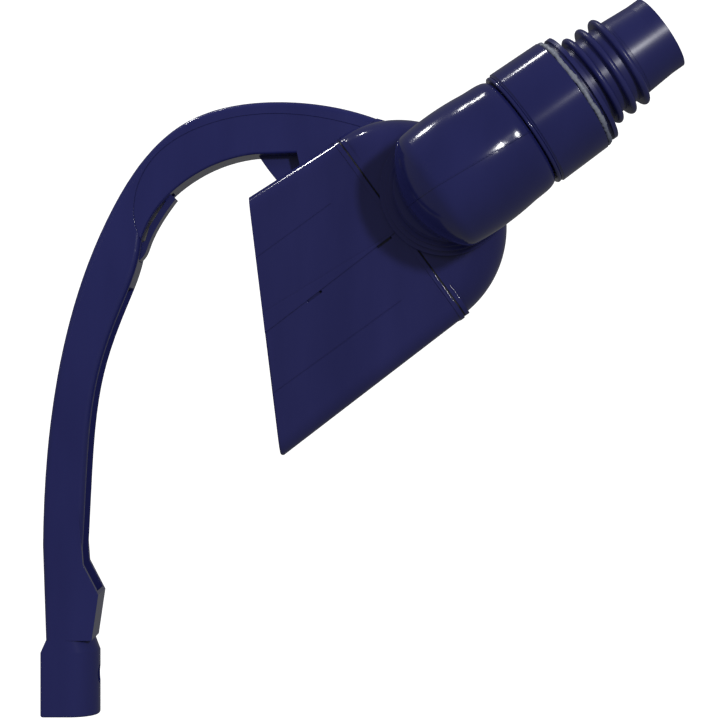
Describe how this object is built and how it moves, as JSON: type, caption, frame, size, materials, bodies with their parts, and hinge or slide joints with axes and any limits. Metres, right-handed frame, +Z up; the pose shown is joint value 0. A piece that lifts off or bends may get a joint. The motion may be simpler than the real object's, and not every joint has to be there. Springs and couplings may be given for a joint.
{
  "type": "pool vacuum head",
  "caption": "Manual pool vacuum head: slant-cut suction mouth on a rounded housing, swivelling elbow with ribbed hose adapter, and an arched handle with a pole socket.",
  "frame": {"origin": "centre of the pole socket's mouth, on the bore's axis", "axes": "+Z up the socket's bore towards the arch, so the pole leaves along -Z; +X from the grip towards the housing; -Y the side the hose port faces"},
  "size_m": [0.3311, 0.1673, 0.3692],
  "materials": {
    "shell_plastic": "glossy injection-moulded navy blue",
    "elbow_plastic": "glossy injection-moulded navy blue",
    "handle_plastic": "satin-gloss moulded navy blue",
    "adapter_plastic": "matte moulded blue, soft vinyl",
    "ring_plastic": "natural acetal",
    "seal_rubber": "black nitrile rubber",
    "sealant": "pale grey cured sealant",
    "screw_steel": "stainless"
  },
  "bodies": {
    "housing": {"mouth_upper_shell": "shell_plastic", "mouth_lower_shell": "shell_plastic", "rear_dome": "shell_plastic", "rim_gasket": "seal_rubber", "rim_screws": "screw_steel", "port_collar": "shell_plastic", "handle_arm": "handle_plastic", "arm_screws": "screw_steel", "handle": "handle_plastic", "latch_pin": "screw_steel", "latch_spring": "screw_steel"},
    "elbow_body": {"elbow": "elbow_plastic", "elbow_seal": "seal_rubber", "elbow_retainer": "ring_plastic", "cuff_seal": "seal_rubber", "cuff_retainer": "ring_plastic"},
    "cuff_body": {"hose_cuff": "elbow_plastic", "cuff_lock_ring": "elbow_plastic", "sealant_bead": "sealant", "hose_adapter": "adapter_plastic"},
    "latch": {"handle_latch": "handle_plastic"}
  },
  "joints": [
    {"name": "elbow_swivel", "type": "hinge", "parent": "housing", "child": "elbow_body", "pos_m": [0.1989, -0.05, 0.2785], "axis": [0, 1, 0], "continuous": true},
    {"name": "cuff_swivel", "type": "hinge", "parent": "elbow_body", "child": "cuff_body", "pos_m": [0.24292, -0.088, 0.30978], "axis": [0.8151, 0, 0.5793], "continuous": true},
    {"name": "latch_pull", "type": "hinge", "parent": "housing", "child": "latch", "pos_m": [0.034, 0, 0.247], "axis": [0, 1, 0], "range_deg": [0, 7], "stiffness_Nm_per_rad": 0.25, "springref_deg": -14.32}
  ]
}
